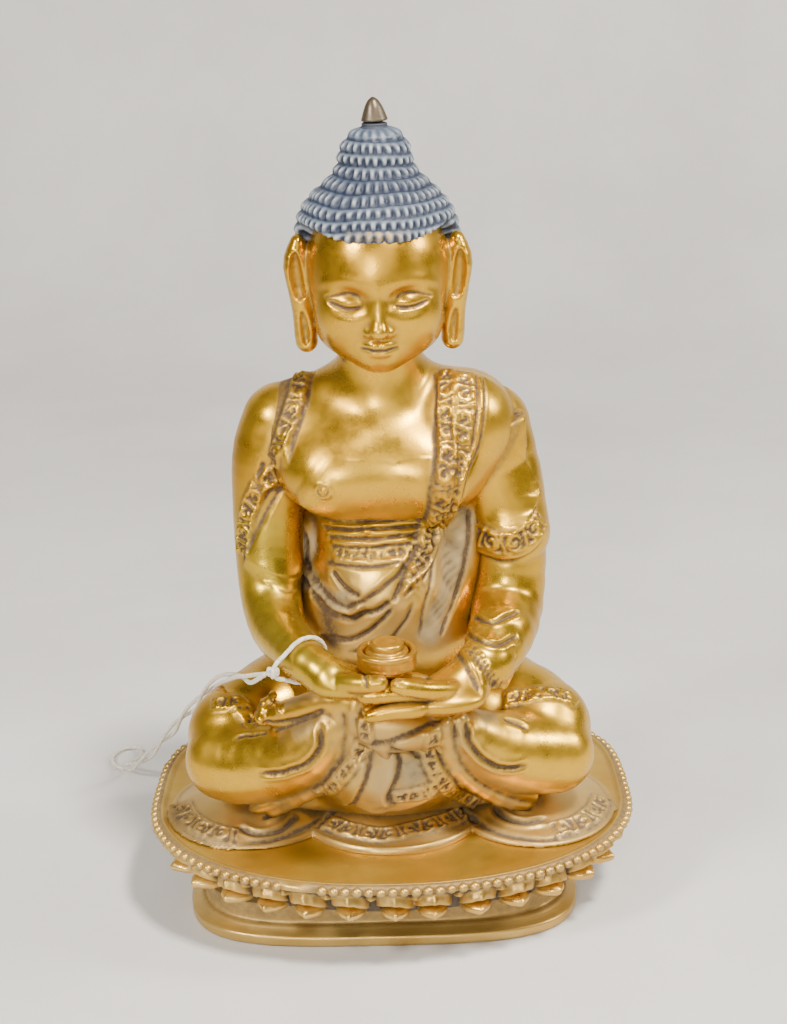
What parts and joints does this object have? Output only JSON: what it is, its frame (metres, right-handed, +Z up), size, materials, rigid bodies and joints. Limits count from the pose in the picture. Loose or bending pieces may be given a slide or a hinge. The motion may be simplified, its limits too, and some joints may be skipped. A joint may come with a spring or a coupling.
{
  "type": "seated buddha statue",
  "caption": "Cast brass Buddha seated in meditation with an alms bowl in the lap, blue-painted curls and a flame-shaped crown jewel, on a lotus pedestal with a beaded rim.",
  "frame": {"origin": "centre of the pedestal's underside, on the surface that the statue stands on", "axes": "+X to the viewer's right (the figure's left), -Y towards the viewer (the way the figure faces), +Z up"},
  "size_m": [0.1484, 0.1335, 0.205],
  "materials": {
    "brass": "hand-polished cast brass with a warm golden-ochre tone and soft satin highlights",
    "aged_brass": "cast brass left greyish tan in the recesses of chased ornament",
    "copper": "dull copper alloy sheet and pins",
    "hair_paint": "matt blue-grey paint, darker between the curls and rubbed pale on their tops",
    "cotton": "off-white twisted cotton string, slightly fuzzy"
  },
  "bodies": {
    "statue": {"base_plate": "copper", "pedestal_foot": "brass", "lotus_petals": "aged_brass", "bead_rim": "brass", "pedestal_deck": "brass", "robe_hem": "aged_brass", "crossed_legs": "brass", "torso": "brass", "right_arm": "brass", "left_arm": "brass", "head": "brass", "hair": "hair_paint", "finial_collar": "aged_brass", "finial_jewel": "brass", "fixing_pin_right": "copper", "fixing_pin_left": "copper", "neck_spigot": "copper", "string_main": "cotton", "string_knot": "cotton", "string_wrist_ring": "cotton"},
    "bowl": {"alms_bowl": "brass", "bowl_offering": "brass"}
  },
  "joints": [
    {"name": "bowl_lift", "type": "slide", "parent": "statue", "child": "bowl", "axis": [0, 0, 1], "range_m": [0, 0.02]}
  ]
}
